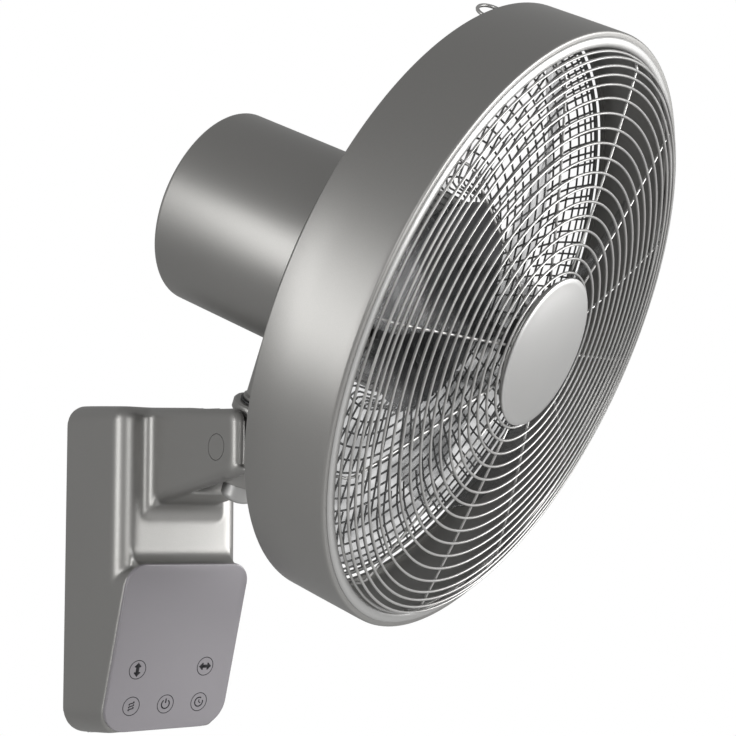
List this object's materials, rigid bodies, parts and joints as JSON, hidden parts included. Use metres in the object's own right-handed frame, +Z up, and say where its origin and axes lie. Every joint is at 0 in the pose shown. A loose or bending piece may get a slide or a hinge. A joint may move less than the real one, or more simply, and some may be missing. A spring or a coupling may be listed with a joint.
{
  "type": "wall mounted fan",
  "caption": "Wall fan: upright base with a leaning touch panel, short arm that tilts and swings, round banded head with a deep motor can, domed wire grille and spinning blades.",
  "frame": {"origin": "back face of the wall plate, in the middle of the base, on the wall", "axes": "+Y into the wall, the fan looks towards -Y, +Z up, +X to the right as seen from the front"},
  "size_m": [0.4026, 0.4748, 0.4795],
  "materials": {
    "grey_paint": "warm grey satin metallic paint",
    "light_paint": "light grey satin metallic paint",
    "wire_paint": "light grey powder coat on wire",
    "panel_grey": "satin grey panel with a faint violet tone",
    "blade_plastic": "smoky clear plastic",
    "dark_plastic": "fine matte moulding",
    "steel": "plated",
    "motor_part": "bare motor metal",
    "board": "green lacquer",
    "copper": "wound coil",
    "rubber": "soft matte"
  },
  "bodies": {
    "base": {"base_housing": "grey_paint", "wall_plate": "steel", "back_cover": "dark_plastic", "cover_screw_1": "steel", "cover_screw_2": "steel", "cover_screw_3": "steel", "cover_screw_4": "steel", "lock_screw_left": "steel", "lock_screw_right": "steel", "cord_bush": "rubber", "control_panel": "panel_grey", "touch_board": "board", "power_board": "board", "board_transformer": "copper", "pivot_cap_left": "grey_paint", "pivot_cap_right": "grey_paint", "tilt_pin": "steel", "tilt_drive_shaft": "steel"},
    "knuckle_unit": {"knuckle": "grey_paint", "knuckle_side_plate": "dark_plastic", "knuckle_cap": "light_paint", "tilt_motor": "motor_part", "tilt_washer_left": "dark_plastic", "tilt_washer_right": "dark_plastic", "pan_post": "steel", "pan_washer": "dark_plastic"},
    "head": {"neck": "grey_paint", "pan_bush_lower": "dark_plastic", "pan_bush_upper": "dark_plastic", "pan_motor": "motor_part", "motor_housing": "grey_paint", "motor_mount": "dark_plastic", "front_bearing": "steel", "stator": "motor_part", "rear_shield": "motor_part", "rear_bearing": "steel", "motor_board": "board", "band": "grey_paint", "front_bezel": "light_paint", "front_grille": "wire_paint", "hub_cap": "light_paint", "rear_guard": "wire_paint", "guard_nut": "dark_plastic", "hang_loop": "wire_paint"},
    "rotor": {"motor_shaft": "steel", "rotor_core": "motor_part", "spinner_nut": "dark_plastic", "blade_wheel": "blade_plastic"}
  },
  "joints": [
    {"name": "tilt", "type": "hinge", "parent": "base", "child": "knuckle_unit", "pos_m": [0, -0.159, 0.085], "axis": [1, 0, 0], "range_deg": [-31.8, 13.2]},
    {"name": "pan", "type": "hinge", "parent": "knuckle_unit", "child": "head", "pos_m": [0, -0.159, 0.085], "axis": [0, -0.4509, 0.8926], "range_deg": [-59.6, 20.4]},
    {"name": "blade_spin", "type": "hinge", "parent": "head", "child": "rotor", "pos_m": [0, -0.22663, 0.21889], "axis": [0.3355, -0.8409, -0.4248], "continuous": true}
  ]
}
